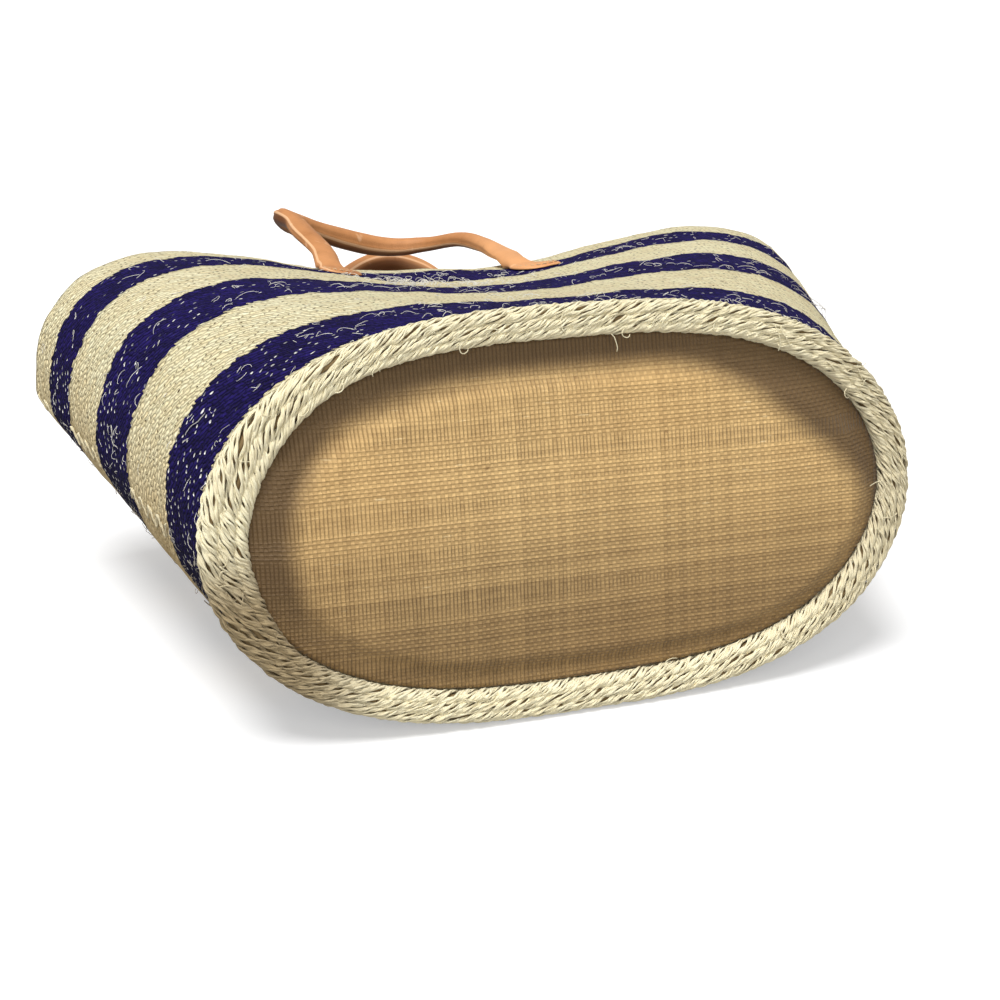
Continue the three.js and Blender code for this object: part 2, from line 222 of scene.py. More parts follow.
def base_oval(inset, depth, count):
    """An oval of the base, at a depth square to the base plane."""
    return oval(depth / BASE_COSINE, inset, count)


def wall_face(x, along, side):
    """A point of the upper (side 1) or lower (side -1) wall's outer face."""
    wall = wall_at(along)
    across = (x - wall.shift) / wall.half_length
    cosine = float(signed_power(across, wall.end_power / 2))
    sine = side * math.sqrt(1 - cosine * cosine)
    height = float(section_height(wall, cosine, sine))
    return to_space(wall, np.array([x - wall.shift, height]))


def on_wall(x, along, side, height):
    """A point at a height off the upper or lower wall, and the direction out of the wall."""
    face = wall_face(x, along, side)
    out = np.cross(wall_face(x + PROBE_REACH, along, side) - face,
                   wall_face(x, along + PROBE_REACH, side) - face)
    out *= side / np.linalg.norm(out)
    return face + out * height, out


def lumps(points, size, seed):
    """Soft noise of about -1 to 1 at each point, with lumps of the given size in millimetres."""
    aside = Vector((seed, 0, 0))
    return np.array([noise.noise(Vector(p) / size + aside) for p in points]) * 2


# Meshes

def new_mesh(name, points, faces, corners, *materials):
    """A mesh object in metres from points in millimetres, with a UV pair for each face corner."""
    mesh = bpy.data.meshes.new(name)
    mesh.from_pydata(((np.asarray(points) + SHIFT) / METRE).tolist(), [], faces)
    layer = mesh.uv_layers.new(name="UVMap")
    layer.data.foreach_set("uv", np.asarray(corners, np.float32).ravel())
    mesh.polygons.foreach_set("use_smooth", [True] * len(mesh.polygons))
    mesh.update()
    for material in materials:
        mesh.materials.append(material)
    piece = bpy.data.objects.new(name, mesh)
    bpy.context.scene.collection.objects.link(piece)
    return piece


def stitch(rings, us, vs, start, cyclic):
    """Faces and UVs between closed rings of points, numbered from start; cyclic also joins the
    last ring to the first. us and vs are the values at the columns and at the rings."""
    count = len(rings[0])
    faces, corners = [], []
    for k in range(len(rings) if cyclic else len(rings) - 1):
        here, there = start + k * count, start + (k + 1) % len(rings) * count
        for i in range(count):
            n = (i + 1) % count
            faces.append((here + i, there + i, there + n, here + n))
            left, right, low, high = us[i], us[i + 1], vs[k], vs[k + 1]
            corners += [(left, low), (left, high), (right, high), (right, low)]
    return faces, corners


def caps(start, stop, count):
    """The two faces that close rings numbered from start up to stop."""
    return [tuple(range(start, start + count)), tuple(reversed(range(stop - count, stop)))]


class Tubes:
    """Strands gathered into one mesh, each with U along it and V round it."""

    def __init__(self):
        self.points, self.faces, self.corners, self.slots = [], [], [], []
        self.total, self.count = 0, 0

    def add(self, path, radius, sides, closed=False, normals=None, flatness=1.0, slot=0):
        """A tube along a path, squeezed by the flatness along the normals."""
        path = np.asarray(path, float)
        n = len(path)
        radius = np.broadcast_to(np.asarray(radius, float), (n,))
        if closed:
            along = np.roll(path, -1, 0) - np.roll(path, 1, 0)
        else:
            along = np.gradient(path, axis=0)
        along /= np.linalg.norm(along, axis=1, keepdims=True) + 1e-12
        if normals is None:
            normals = carried_outs(along, [np.cross(along[0], (0.3, 0.5, 0.8))])
        else:
            normals = unit(normals - along * np.sum(normals * along, 1, keepdims=True))
        across = np.cross(along, normals)
        turn = -np.linspace(0, 2 * pi, sides, endpoint=False)
        ring = (normals[:, None] * np.cos(turn)[None, :, None] * flatness
                + across[:, None] * np.sin(turn)[None, :, None])
        self.points.append((path[:, None] + ring * radius[:, None, None]).reshape(-1, 3))
        length = length_along(np.vstack([path, path[:1]])) / STRAND_LENGTH
        vs = self.count * STRAND_V_STEP + np.linspace(0, STRAND_V_TURN, sides + 1)
        faces, corners = stitch(np.zeros((n, sides)), vs, length, self.total, closed)
        if not closed:
            faces += caps(self.total, self.total + n * sides, sides)
            corners += [(vs[0], 0)] * sides + [(vs[0], length[n - 1])] * sides
        self.faces += faces
        self.corners += [(b, a) for a, b in corners]
        self.slots += [slot] * len(faces)
        self.total += n * sides
        self.count += 1

    def mesh(self, name, *materials):
        points = np.concatenate(self.points)
        piece = new_mesh(name, points, self.faces, self.corners, *materials)
        piece.data.polygons.foreach_set("material_index", self.slots)
        return piece


# Materials: node graphs written as sums

STRAW = SimpleNamespace(
    # On these lines, the two low colours are painted shade towards the ground
    dark=(0.80, 0.66, 0.37), light=(1.0, 0.96, 0.68), ground_shade_dark=(0.62, 0.42, 0.18),
    # On this line, crack and hole are colours of painted shade in the weave's cracks and holes
    ground_shade_light=(0.97, 0.75, 0.42), crack_shade=(0.40, 0.28, 0.115), hole=(0.11, 0.065, 0.018),
    # Painted shade for the straw strands at the border's right end and low left end
    painted_shade=(0.27, 0.18, 0.075))
INDIGO = SimpleNamespace(
    dark=(0.0025, 0.0012, 0.012), light=(0.022, 0.012, 0.165), streak=(0.12, 0.10, 0.36),
    # On this line, crack is painted shade in the cracks and low is painted shade towards the ground
    crack_shade=(0.001, 0.001, 0.005), low=(0.001, 0.001, 0.004), warp=(0.95, 0.93, 0.88))
RAFFIA = SimpleNamespace(
    thread=0.0021, pick=0.0020, dark=(0.20, 0.11, 0.034), light=(0.84, 0.57, 0.245),
    slub=(0.98, 0.78, 0.44), fleck=(0.24, 0.13, 0.045), patch=(0.58, 0.33, 0.11),
    # On this line: two colours of painted shade towards the ground, and the rim's painted shadow in
    # the gutter
    ground_shade_dark=(0.080, 0.041, 0.011), ground_shade_light=(0.335, 0.205, 0.078), gutter=(0.085, 0.045, 0.014))
LEATHER = SimpleNamespace(
    dark=(0.33, 0.125, 0.034), light=(0.72, 0.335, 0.135), crease=(0.26, 0.09, 0.03),
    # On this line, inner is painted shade on the underside and edge a painted highlight on the
    # rolled edge
    spot=(0.93, 0.60, 0.36), inner=(0.125, 0.040, 0.010), edge=(0.93, 0.60, 0.35),
    right=(0.98, 0.52, 0.24))

# The angle of the leather's rolled edge round the strap, left and right of the bend
EDGE_LEFT, EDGE_RIGHT = 5.25, 2.05


def reckon(operation):
    return lambda first, second: first.graph.math(operation, first, second)


class Signal:
    """A node's output, to reckon with."""

    __add__ = __radd__ = reckon("ADD")
    __mul__ = __rmul__ = reckon("MULTIPLY")
    __sub__, __pow__ = reckon("SUBTRACT"), reckon("POWER")

    def __init__(self, graph, socket):
        self.graph, self.socket = graph, socket

    def __rsub__(self, other):
        return self.graph.math("SUBTRACT", other, self)


class Graph:
    """A material's node graph round its one shader."""

    def __init__(self, name, roughness, specular, sheen=0):
        self.material = bpy.data.materials.new(name)
        self.material.use_nodes = True
        self.tree = self.material.node_tree
        self.shader = self.tree.nodes["Principled BSDF"]
        self.shader.inputs["Roughness"].default_value = roughness
        self.shader.inputs["Specular IOR Level"].default_value = specular
        if sheen:
            self.shader.inputs["Sheen Weight"].default_value = sheen
            self.shader.inputs["Sheen Roughness"].default_value = 0.5

    def put(self, value, socket):
        if isinstance(value, Signal):
            self.tree.links.new(value.socket, socket)
        else:
            socket.default_value = value

    def node(self, kind, output=0, settings=None, **inputs):
        made = self.tree.nodes.new(kind)
        for key, value in (settings or {}).items():
            setattr(made, key, value)
        for key, value in inputs.items():
            self.put(value, made.inputs[key.replace("_", " ")])
        return Signal(self, made.outputs[output])

    def math(self, operation, *values):
        made = self.tree.nodes.new("ShaderNodeMath")
        made.operation = operation
        for value, socket in zip(values, made.inputs):
            self.put(value, socket)
        return Signal(self, made.outputs[0])

    def size(self, value):
        return self.math("ABSOLUTE", value)

    def cell(self, value):
        return self.math("FLOOR", value)

    def within(self, value):
        """How far from the middle of its cell a value lies, from 0 to 1 at the edge."""
        return self.size(self.math("FRACT", value) - 0.5) * 2

    def uv(self, across, along):
        place = self.node("ShaderNodeUVMap", settings={"uv_map": "UVMap"})
        split = self.tree.nodes.new("ShaderNodeSeparateXYZ")
        self.put(place, split.inputs[0])
        return Signal(self, split.outputs[0]) * across, Signal(self, split.outputs[1]) * along

    def vector(self, x, y=0, z=0):
        return self.node("ShaderNodeCombineXYZ", X=x, Y=y, Z=z)

    def place(self):
        """The point in the bag's frame, in metres."""
        return self.node("ShaderNodeTexCoord", output="Object")

    def place_along(self, axis):
        return self.node("ShaderNodeSeparateXYZ", output=axis, Vector=self.place())

    def noise(self, vector, scale, detail=3, rough=0.5):
        return self.node("ShaderNodeTexNoise", Vector=vector, Scale=scale, Detail=detail,
                         Roughness=rough)

    def grain(self, x, y, detail, rough=0.5):
        return self.noise(self.vector(x, y), 1, detail, rough)

    def specks(self, vector, scale):
        """Distance from the nearest of many scattered points."""
        return self.node("ShaderNodeTexVoronoi", output="Distance", Vector=vector, Scale=scale)

    def chance(self, *cell):
        """A number from 0 to 1 that belongs to a cell."""
        return self.node("ShaderNodeTexWhiteNoise", Vector=self.vector(*cell))

    def ramp(self, value, start, end, low=0, high=1):
        """Low up to the start and high from the end, with a soft climb between."""
        return self.node("ShaderNodeMapRange", settings={"interpolation_type": "SMOOTHSTEP"},
                         Value=value, From_Min=start, From_Max=end, To_Min=low, To_Max=high)

    def colour(self, share, first, second):
        made = self.tree.nodes.new("ShaderNodeMix")
        made.data_type = "RGBA"
        self.put(share, made.inputs[0])
        for value, socket in ((first, made.inputs[6]), (second, made.inputs[7])):
            self.put(value if isinstance(value, Signal) else (*value, 1), socket)
        return Signal(self, made.outputs[2])

    def finish(self, colour, height=None, depth=0, strength=1, roughness=None):
        """The material, with a relief of a depth in metres where a height is given."""
        self.put(colour, self.shader.inputs["Base Color"])
        if roughness is not None:
            self.put(roughness, self.shader.inputs["Roughness"])
        if height is not None:
            bump = self.node("ShaderNodeBump", Height=height, Distance=depth, Strength=strength)
            self.put(bump, self.shader.inputs["Normal"])
        return self.material


def weave_material():
    """Weft-faced twined weave over the whole wall: rows of slanted stitches, indigo and natural."""
    g = Graph("woven_straw", roughness=0.85, specular=0.12)
    u, v = g.uv(FLOATS, ROWS)
    drift = g.grain(u * 0.5, v * 0.3, 2)
    v = v + (drift - 0.5) * 1
    sway = g.noise(g.vector(u * 0.6, v * 0.4, 7), 1, 3)
    u = u + (sway - 0.5) * 1.1
    v = v + g.math("SINE", (u + v * 0.5) * (2 * pi)) * 0.1
    # The stitches lean against the rows, so each dyed edge climbs in small steps
    lean = v - u * SLANT
    row = g.cell(lean)
    up = g.math("FRACT", lean) - 0.5
    offset = g.math("MODULO", row, 2) * 0.5 + g.chance(row) * 0.2
    column = u + offset
    cell = g.cell(column)
    across = g.math("FRACT", column) - 0.5
    centre = (row + 0.5 + (cell - offset + 0.5) * SLANT) * 0.55 + v * 0.45
    end = g.size(across) * 2
    side = g.size(up) * 2
    height = (1 - side ** 2.2) * (1 - end ** 3 * 0.75)
    # Where two stitches meet: a hole darkened by painted shade between natural ones, the warp
    # between dyed ones
    knot = g.cell(column + 0.5)
    beside = g.math("FRACT", column + 0.5) - 0.5
    turned = up + beside * 1.6

    def spot(long, short):
        return g.math("SQRT", (beside * (1 / long)) ** 2 + (turned * (1 / short)) ** 2)

    strand = g.chance(cell, row)
    fibre = g.grain(u * 1.3, v * 7, 3, 0.6)
    patch = g.noise(g.place(), 14, 2)
    # Painted shade: the cracks at each stitch's sides and ends, and the holes between stitches,
    # darken where shade would fall
    crack_shade = g.ramp(side, 0.6, 1, 0, 0.42) + g.ramp(end, 0.72, 1, 0, 0.3)
    hole = g.ramp(spot(0.12, 0.14), 1.3, 0.7) * g.ramp(g.chance(knot, row, 9), 0.3, 0.85)

    tone = strand * 0.45 + fibre * 0.5 + patch * 0.4 - 0.15
    natural = g.colour(tone, STRAW.dark, STRAW.light)
    # Painted shade: the natural straw darkens and browns towards the ground
    low = g.ramp(g.place_along("Z"), 0.16, 0.05, 0, 0.95)
    natural = g.colour(low, natural, g.colour(tone, STRAW.ground_shade_dark, STRAW.ground_shade_light))
    # Painted shade in the cracks and holes of the natural bands
    natural = g.colour(crack_shade, natural, STRAW.crack_shade)
    natural = g.colour(hole, natural, STRAW.hole)
    indigo = g.colour(tone, INDIGO.dark, INDIGO.light)
    indigo = g.colour(g.ramp(fibre, 0.56, 0.74, 0, 0.38), indigo, INDIGO.streak)
    # Painted shade in the cracks of the dyed bands
    indigo = g.colour(g.math("MINIMUM", crack_shade * 1.6, 1), indigo, INDIGO.crack_shade)
    # Painted shade: the indigo darkens towards the ground
    indigo = g.colour(low * 0.8, indigo, INDIGO.low)
    # The warp shows more where the wall faces sideways than on top
    warp = g.ramp(spot(0.14, 0.2), 1.25, 0.75)
    often = g.chance(knot, row, 4) + g.ramp(g.place_along("Z"), 0.17, 0.1, -0.36, 0.02)
    warp = warp * g.ramp(often, 0.42, 0.62)
    indigo = g.colour(warp, indigo, INDIGO.warp)

    edges = (np.cumsum(BAND_HEIGHTS[:-1]) / (WALL_LENGTH - SEAT_DEPTH) * ROWS).tolist()
    dyed = g.math("GREATER_THAN", centre, edges[0])
    for i, edge in enumerate(edges[1:]):
        past = g.math("GREATER_THAN", centre, edge)
        dyed = dyed - past if i % 2 == 0 else dyed + past
    relief = height + fibre * 0.35 + strand * 0.25 - hole * 0.5
    return g.finish(g.colour(dyed, natural, indigo), relief, 0.0017, 1)


def strand_material(name, light, dark, shade):
    """Straw strands: fibres run along each one, and each has its own tone."""
    g = Graph(name, roughness=0.78, sheen=0.1, specular=0.35)
    along, round_it = g.uv(1, 1)
    own = g.chance(g.cell(round_it * STRANDS_PER_V))
    fibre = g.grain(along * 14, round_it * 220, 3, 0.6)
    length = g.grain(along * 9, round_it * 2, 2)
    patch = g.noise(g.place(), 22, 2)
    tone = own * 0.25 + fibre * 0.45 + length * 0.35 + patch * 0.2 - 0.1
    colour = g.colour(tone, dark, light)
    colour = g.colour(g.ramp(fibre, 0.42, 0.28, 0, 0.5), colour, shade)
    # Painted shade: darker and browner at the right end, and low on the left one
    far = g.place_along("X")
    shade_right = g.ramp(far, 0.06, 0.19, 0, 0.32)
    shade_left = g.ramp(far, -0.11, -0.17, 0, 0.85)
    shade_left = shade_left * g.ramp(g.place_along("Z"), 0.115, 0.07)
    colour = g.colour(shade_right + shade_left, colour, STRAW.painted_shade)
    return g.finish(colour, fibre, 0.0006, 0.7)


def raffia_material():
    """Raffia cloth: fine upright threads crossed by wefts, in bands where either shows."""
    g = Graph("raffia_cloth", roughness=0.62, sheen=0.1, specular=0.4)
    true_x, true_w = x, w = g.uv(PLATE_UV / METRE, PLATE_UV / METRE)
    w = w + (g.grain(x * 9, w * 60, 2) - 0.5) * 0.0022
    x = x + (g.grain(x * 60, w * 9, 3) - 0.5) * 0.0034
    warp, weft = x * (1 / RAFFIA.thread), w * (1 / RAFFIA.pick)
    warp_no, weft_no = g.cell(warp), g.cell(weft)
    warp, weft = g.within(warp), g.within(weft)
    over = g.math("MODULO", g.size(warp_no + weft_no), 2)
    bands = g.grain(x * 2.2, w * 42, 3, 0.65)
    upright = g.ramp(bands + g.ramp(x, 0.1, 0.32, 0.05, -0.05), 0.47, 0.62)
    warp_tone = g.chance(warp_no, 3)
    weft_tone = g.chance(weft_no, 8)
    hair = g.grain(x * 260, w * 2600, 2)
    broken = g.grain(warp_no * 3.7, w * 210, 2)
    warp_lines = 1 - warp ** 3
    weft_lines = 1 - weft ** 2.5
    bricks = (0.35 + over * 0.65) * weft_lines * (0.55 + (1 - warp ** 4) * 0.45)
    rods = warp_lines * (0.7 + weft_lines * 0.3)
    height = bricks * (1 - upright) + rods * upright
    tone = height * 0.44 + warp_tone * 0.16 + weft_tone * 0.24 + hair * 0.22 - upright * 0.16
    tone = tone + (broken - 0.5) * 0.55 * upright
    colour = g.colour(tone + 0.1, RAFFIA.dark, RAFFIA.light)
    slub = g.grain(x * 90, w * 700, 1)
    colour = g.colour(g.ramp(slub, 0.7, 0.8, 0, 0.6), colour, RAFFIA.slub)
    fleck = g.specks(g.vector(x * 55, w * 75), 1)
    colour = g.colour(g.ramp(fleck, 0.1, 0.02, 0, 0.7), colour, RAFFIA.fleck)
    patch = g.noise(g.place(), 9, 3)
    colour = g.colour(g.ramp(patch, 0.35, 0.72, 0, 0.22), colour, RAFFIA.patch)
    # Painted shade, browner towards the ground, and the border's painted shadow in the gutter round
    # the board's oval
    board_x = PLATE_UV / 2 + BOARD_SHIFT_X
    board_up = BASE_HALF_HEIGHT + BORDER_OUT + BOARD_SHIFT_UP
    aside = g.size(true_x - board_x / METRE) * (METRE / BOARD_HALF_LENGTH)
    above = g.size(true_w - board_up / METRE)
    outside = (aside ** BASE_END_POWER
               + (above * (METRE / BOARD_HALF_HEIGHT)) ** BASE_SIDE_POWER)
    rise = true_w * (METRE / (2 * BASE_HALF_HEIGHT))
    low = g.ramp(rise, 0.72, 0.12, 0, 0.85)
    colour = g.colour(low, colour, g.colour(tone, RAFFIA.ground_shade_dark, RAFFIA.ground_shade_light))
    # Painted shadow of the rim, reaching further in at the left end and the upper right
    shadow_left = g.ramp(true_x, 0.085, 0.015, 0, 0.55)
    shadow_right = g.ramp(true_x, 0.25, 0.37, 0, 0.75) * g.ramp(rise, 0.3, 0.8)
    rim = g.ramp(outside + (shadow_left + shadow_right), 0.93, 1.42, 0, 0.9)
    rim = rim * g.ramp(rise, 0.1, 0.45, 0.15, 1)
    colour = g.colour(rim, colour, RAFFIA.gutter)
    return g.finish(colour, height + slub * 0.4, 0.0006, 0.85)


def cloth_material(name, light, dark, pitch):
    """Plain woven cloth, its threads a pitch apart in metres."""
    g = Graph(name, roughness=0.9, sheen=0.2, specular=0.25)
    x, w = g.uv(PLATE_UV / METRE, PLATE_UV / METRE)
    warp, weft = x * (1 / pitch), w * (1 / pitch)
    over = g.math("MODULO", g.size(g.cell(warp) + g.cell(weft)), 2)
    warp, weft = g.within(warp), g.within(weft)
    height = over * (1 - warp ** 2) + (1 - over) * (1 - weft ** 2)
    tone = height * 0.5 + g.noise(g.place(), 60, 3) * 0.5
    return g.finish(g.colour(tone, dark, light), height, 0.0004, 0.6)


def leather_material():
    """Tan leather: pores, creases and cloudy wear, a painted highlight on the rolled edge and
    painted shade on the underside.
    """
    g = Graph("tan_leather", roughness=0.5, specular=0.28)
    along, round_it = g.uv(1, 1)
    cloud = g.noise(g.place(), 26, 4, 0.6)
    pores = g.specks(g.place(), 900)
    crease = g.grain(along * 7, round_it * 1.6, 5, 0.7)
    colour = g.colour(cloud * 0.75 + crease * 0.6 - 0.2, LEATHER.dark, LEATHER.light)
    colour = g.colour(g.ramp(crease, 0.4, 0.3, 0, 0.4), colour, LEATHER.crease)
    spot = g.noise(g.place(), 110, 2)
    colour = g.colour(g.ramp(spot, 0.66, 0.78, 0, 0.45), colour, LEATHER.spot)
    # Painted shade on the strap's underside, which turns at the left bend, and a painted highlight
    # along the rolled edge's ridge
    place = g.math("FRACT", round_it)
    corner = g.ramp(g.size(along - 1.16), 0.34, 0.12, 0, 0.13)
    under = g.size(place - 0.53 - corner)
    colour = g.colour(g.ramp(under, 0.22, 0.1, 0, 0.92), colour, LEATHER.inner)
    # Painted highlight: a pale stripe along the ridge of the rolled edge
    edge = g.ramp(along, 1.13, 1.49, EDGE_LEFT / (2 * pi), EDGE_RIGHT / (2 * pi))
    beside = g.size(place - edge)
    colour = g.colour(g.ramp(beside, 0.03, 0.014, 0, 0.6), colour, LEATHER.edge)
    # Lighter towards the right root
    colour = g.colour(g.ramp(along, 2.75, 3.3, 0, 0.35), colour, LEATHER.right)
    return g.finish(colour, pores * 0.3 + crease * 0.6, 0.0005, 0.5,
                    g.ramp(cloud, 0.3, 0.7, 0.42, 0.6))


def plain_material(name, light, dark, scale, roughness):
    g = Graph(name, roughness=roughness, specular=0.3)
    grain = g.noise(g.place(), scale, 4, 0.65)
    return g.finish(g.colour(grain, dark, light), grain, 0.0003, 0.5)


weave = weave_material()
strands = strand_material("border_straw", (1, 0.96, 0.72), (0.86, 0.73, 0.44),
                          (0.46, 0.32, 0.14))
# A dark material for the ropes' cores, painted shade that shows in the border's gaps
gap_shade = plain_material("border_gap_shade", (0.3, 0.21, 0.1), (0.12, 0.08, 0.035), 400, 0.95)
raffia = raffia_material()
cloth = cloth_material("lining_cloth", (0.66, 0.55, 0.34), (0.42, 0.33, 0.18), 0.0012)
leather = leather_material()
cotton = plain_material("cotton_cord", (0.78, 0.72, 0.58), (0.6, 0.53, 0.4), 500, 0.9)
thread = strand_material("sewing_thread", (0.8, 0.58, 0.36), (0.5, 0.32, 0.17),
                         (0.25, 0.13, 0.06))
stray = strand_material("stray_fibre", (1, 0.98, 0.92), (0.86, 0.82, 0.72), (0.75, 0.68, 0.56))


# Woven wall, band by band: the outer face up, the inner face back

LARGE_LUMP, SMALL_LUMP, LUMP_SEED = 26, 9, 3
INNER_ROW_SHIFT = 0.012


def wall_rings(stops, inset):
    """Rings of the wall, lumpy but for the border's edge and the ground."""
    rings = []
    for along in stops:
        points, out = oval(along, inset, COLUMNS)
        settled = smooth_step(along, SEAT_DEPTH, SEAT_DEPTH + 20)
        rough = lumps(points, LARGE_LUMP, LUMP_SEED) * 0.5
        rough = rough + lumps(points, SMALL_LUMP, LUMP_SEED) * 0.16
        lift = np.clip(points[:, 2:3] / 4, 0, 1)
        rings.append(points + out * rough[:, None] * settled * lift)
    return rings


def row_of(along):
    return (along - SEAT_DEPTH) / (WALL_LENGTH - SEAT_DEPTH)


def wall_band(name, start, end, outer_inset, thickness, nodes):
    steps = max(3, round((end - start) / BAND_STEP))
    outer = np.linspace(start, end, steps + 1)
    inner = outer[::-1]
    rings = wall_rings(outer, outer_inset) + wall_rings(inner, outer_inset + thickness)
    values = [row_of(a) for a in outer] + [row_of(a) + INNER_ROW_SHIFT for a in inner]
    values.append(row_of(start))
    us = np.linspace(0, 1, COLUMNS + 1)
    faces, corners = stitch(rings, us, values, 0, True)
    piece = new_mesh(name, np.concatenate(rings), faces, corners)
    piece.data.materials.append(weave)
    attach(piece, "bag")
    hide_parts(nodes)


start = SEAT_DEPTH
for number, (height, dye) in enumerate(zip(BAND_HEIGHTS, BAND_COLOURS), 1):
    wall_band(f"woven_band_{number}", start, start + height, 0, WALL_THICKNESS,
              f"weft_band_{number}_{dye}")
    start += height
wall_band("turned_hem", WALL_LENGTH - HEM_HEIGHT, WALL_LENGTH, WALL_THICKNESS + SEAT_GAP,
          HEM_THICKNESS, "mouth_hem")


# Border: ropes of turned-over strands lying side by side, and dark cores whose colour is painted
# shade in the gaps between them

BUNDLE_DIPS, STRAND_TURNS, STRANDS = 78, 46, 2
STRAND_FLATNESS, LEAST_HEIGHT, CORE_INSET = 0.62, 0.9, 1.3
# Each rope's inset, depth, half width, half depth, turns, bundles, shares in and wide, and seed
ROPES = ((0.8, 6.8, 3.6, 5.4, 16, 18, 0.2, 0.2, 1),
         (5.6, 5.0, 3.1, 3.9, 21, 14, 0.52, 0.22, 3),
         (9.9, 6.6, 2.8, 4.7, 24, 12, 0.85, 0.15, 5))


def wander(share, waves, key):
    """A noise round the border that ends where it began."""
    turns = 2 * pi * share
    return np.array([noise.noise(Vector((math.cos(t) * waves, math.sin(t) * waves, key)))
                     for t in turns]) * 1.6


def border_rope(tubes, inset, depth, half_width, half_depth, turns, bundles, share_in, share_wide,
                seed):
    """Bundles of fine strands that wind round a dark core, dip under each other and wander. The
    core's dark colour is painted shade in the gaps between the bundles. The rope takes its
    shares of the border's extra width at the left end."""
    centre, out = base_oval(inset, depth, ROPE_SAMPLES)
    extra = BORDER_EXTRA * np.array([
        smooth_step(-o[0], 0.25 if o.dot(BASE_UP) > 0 else 0.6, 1.0) for o in out])
    centre = centre - out * (extra * share_in)[:, None]
    half_width = half_width + extra * share_wide
    girth = 2 * pi * (half_width + half_depth) / 2 / bundles
    share = np.arange(ROPE_SAMPLES) / ROPE_SAMPLES
    slow = wander(share, 6, seed)
    for k in range(bundles):
        drift = wander(share, 12, seed + k * 3.1)
        swell = wander(share, 22, seed + k * 5.3)
        stand = wander(share, 14, seed + k * 7.7)
        phase = 2 * pi * (share * turns + k / bundles) + 0.40 * drift + 0.35 * slow
        dip = 0.11 * np.cos(2 * pi * share * BUNDLE_DIPS + pi * k + 1.5 * slow)
        reach = 1 + 0.07 * stand + dip
        spoke = (out * (half_width * reach * np.cos(phase))[:, None]
                 + BASE_FACE * (half_depth * reach * np.sin(phase))[:, None])
        normal = unit(spoke)
        middle = centre + spoke
        across = unit(np.cross(np.roll(middle, -1, 0) - np.roll(middle, 1, 0), normal))
        half = girth / 2 * (0.94 + 0.20 * swell)
        for j in range(STRANDS):
            own = wander(share, 30, seed + k * 2.3 + j * 9.1)
            turn = 2 * pi * (share * STRAND_TURNS + j / STRANDS) + 0.6 * own
            path = (centre + spoke * 0.94 + across * (half * 0.50 * np.cos(turn))[:, None]
                    + normal * (0.34 + 0.34 * np.sin(turn))[:, None])
            path[:, 2] = np.maximum(path[:, 2], LEAST_HEIGHT)
            tubes.add(path, half * 0.74 * (1 + 0.15 * own), 6, closed=True, normals=normal,
                      flatness=STRAND_FLATNESS)
    # The dark core: painted shade seen through the gaps between the bundles
    core = half_depth - CORE_INSET
    tubes.add(centre, core, 12, closed=True, normals=out,
              flatness=float(half_width.min() - CORE_INSET) / core, slot=1)


border = Tubes()
for rope in ROPES:
    border_rope(border, *rope)
piece = border.mesh("border_ropes", strands, gap_shade)
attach(piece, "bag")
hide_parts("base_border")


# Base: cover with the board's oval pressed through it, and the lining behind

def base_point(flat, depth):
    y = depth / BASE_COSINE + flat[:, 1] * BASE_SINE
    return np.stack([flat[:, 0], y, flat[:, 1] * BASE_COSINE], 1)


def base_plate(name, inset, front, thickness, material, nodes, swell, seed):
    """A plate across the base, its front face raised where the board lies behind it."""
    count = PLATE_SIDES
    rim, _ = base_oval(inset, front, count)
    wall = wall_at(0)
    edge = np.stack([rim[:, 0], rim[:, 2] / BASE_COSINE], 1)
    middle = np.array([0, wall.centre])
    crowned = np.clip(swell, 0, 1)
    loops, flats = [], []
    for k in range(PLATE_RINGS + 1):
        flat = middle + (edge - middle) * max(1 - k / PLATE_RINGS, 0.004)
        across = np.abs(flat[:, 0] - BOARD_SHIFT_X) / BOARD_HALF_LENGTH
        up = np.abs(flat[:, 1] - wall.centre - BOARD_SHIFT_UP) / BOARD_HALF_HEIGHT
        inside = (across ** BASE_END_POWER + up ** BASE_SIDE_POWER) ** 0.45
        board = 1 - np.clip((inside - 0.97) / 0.09, 0, 1)
        board = board * board * (3 - 2 * board)
        waves = lumps(np.stack([flat[:, 0], flat[:, 1], 0 * flat[:, 0]], 1), 44, seed) * 0.5
        free = min(k / 4, 1)
        from_middle = (flat[:, 1] - wall.centre) / BASE_HALF_HEIGHT
        bulge = COVER_BULGE * crowned * (1 - from_middle ** 2)
        gutter = COVER_GUTTER * crowned * (1 - board)
        loops.append(base_point(flat, front + (gutter - waves - bulge) * free - swell * board))
        flats.append(flat)
    back = base_point(flats[0], front + thickness)
    closing = base_point(flats[-1], front + thickness)
    points = np.concatenate([closing, back] + loops)
    flats = np.concatenate([flats[-1], flats[0]] + flats)
    faces = []
    for here in range(0, len(points) - count, count):
        for i in range(count):
            n = (i + 1) % count
            faces.append((here + count + i, here + count + n, here + n, here + i))
    faces += caps(0, len(points), count)
    corners = [(flats[i][0] / PLATE_UV + 0.5, flats[i][1] / PLATE_UV)
               for face in faces for i in face]
    piece = new_mesh(name, points, faces, corners, material)
    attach(piece, "bag")
    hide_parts(nodes)


cover_inset = BORDER_WIDTH - BORDER_OUT + SEAT_GAP
base_plate("raffia_cover", cover_inset, COVER_RECESS, COVER_THICKNESS, raffia,
           "base_cover", COVER_SWELL, 2.0)
board_back = COVER_RECESS + COVER_THICKNESS + 2 * SEAT_GAP + BOARD_THICKNESS
base_plate("inner_lining", WALL_THICKNESS + SEAT_GAP, max(board_back, BORDER_DEPTH),
           LINING_THICKNESS, cloth, "base_lining", 0, 6.0)


# Handles: a rolled strap that flattens into a tab at each root, one piece of leather each

